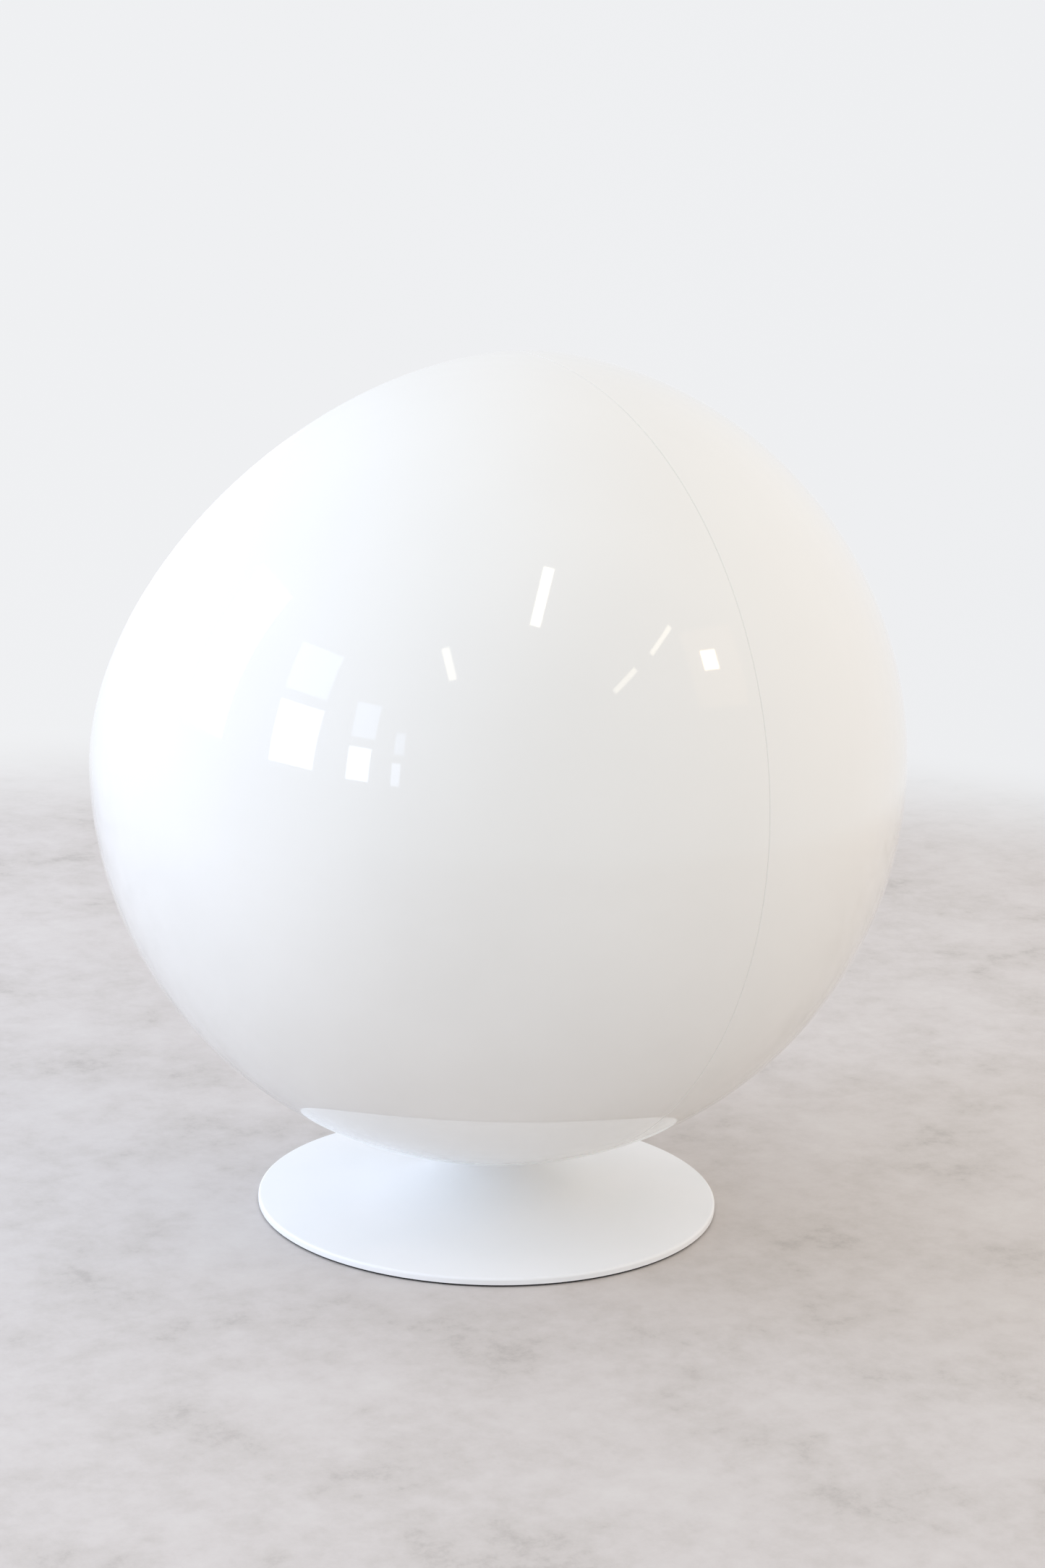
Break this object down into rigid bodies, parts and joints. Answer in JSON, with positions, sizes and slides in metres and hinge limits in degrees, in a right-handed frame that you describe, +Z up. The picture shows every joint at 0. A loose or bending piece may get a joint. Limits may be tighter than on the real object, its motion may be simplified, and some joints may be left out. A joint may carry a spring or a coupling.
{
  "type": "globe lounge chair",
  "caption": "Ball-shaped lounge chair: glossy moulded shell with a round upholstered opening, turning on a low round trumpet pedestal.",
  "frame": {"origin": "on the floor, at the swivel axis, in the middle of the floor ring's underside", "axes": "+Z up along the swivel axis; the opening faces -Y and the moulding seam runs down the back at +Y; +X is the left of a person seated in the chair"},
  "size_m": [1.0996, 0.9754, 1.1841],
  "materials": {
    "shell_gelcoat": "white gelcoat on moulded glass fibre, polished",
    "glass_laminate": "hand-laid glass-fibre laminate",
    "welt_wool": "wool-covered piping",
    "lining_wool": "grey wool felt over foam",
    "cushion_wool": "grey wool felt over foam",
    "hook_tape": "black hook tape",
    "plywood": "birch plywood, sealed",
    "zinc_steel": "zinc-plated steel",
    "plain_steel": "black-primed steel",
    "ground_steel": "ground bearing steel",
    "ball_steel": "polished bearing steel",
    "spring_steel": "phosphated spring steel",
    "cage_nylon": "glass-filled nylon",
    "bush_bronze": "sintered bronze",
    "black_rubber": "black rubber",
    "cast_aluminium": "cast aluminium",
    "pedestal_paint": "white satin powder coat on spun aluminium"
  },
  "bodies": {
    "base": {"pedestal_trumpet": "pedestal_paint", "ballast_plate": "plain_steel", "bearing_housing": "plain_steel", "bearing_outer_race": "ground_steel", "bearing_circlip": "spring_steel", "lower_bush": "bush_bronze", "dust_seal": "black_rubber", "centering_ring": "cast_aluminium", "set_screws": "zinc_steel", "housing_screws": "zinc_steel", "floor_ring": "black_rubber"},
    "seat": {"shell_left": "shell_gelcoat", "shell_right": "shell_gelcoat", "seam_strips": "glass_laminate", "rim_welt": "welt_wool", "lining_upper_left": "lining_wool", "lining_upper_right": "lining_wool", "lining_lower_left": "lining_wool", "lining_lower_right": "lining_wool", "deck_board": "plywood", "deck_rib_left": "plywood", "deck_rib_right": "plywood", "deck_screws": "zinc_steel", "hook_strips": "hook_tape", "seat_cushion": "cushion_wool", "back_cushion": "cushion_wool", "reinforcement_dish": "plain_steel", "shell_bolts": "zinc_steel", "shell_washers": "zinc_steel", "swivel_saddle": "plain_steel", "spindle": "ground_steel", "spacer_collar": "ground_steel", "bearing_inner_race": "ground_steel", "spindle_washer": "zinc_steel", "spindle_nut": "zinc_steel"},
    "bearing_cage": {"bearing_balls": "ball_steel", "ball_cage": "cage_nylon"}
  },
  "joints": [
    {"name": "seat_swivel", "type": "hinge", "parent": "base", "child": "seat", "pos_m": [0, 0, 0.062], "axis": [0, 0, 1], "continuous": true},
    {"name": "cage_spin", "type": "hinge", "parent": "base", "child": "bearing_cage", "pos_m": [0, 0, 0.062], "axis": [0, 0, 1], "continuous": true}
  ],
  "couplings": [
    {"joint": "cage_spin", "follows": "seat_swivel", "ratio": 0.5}
  ]
}
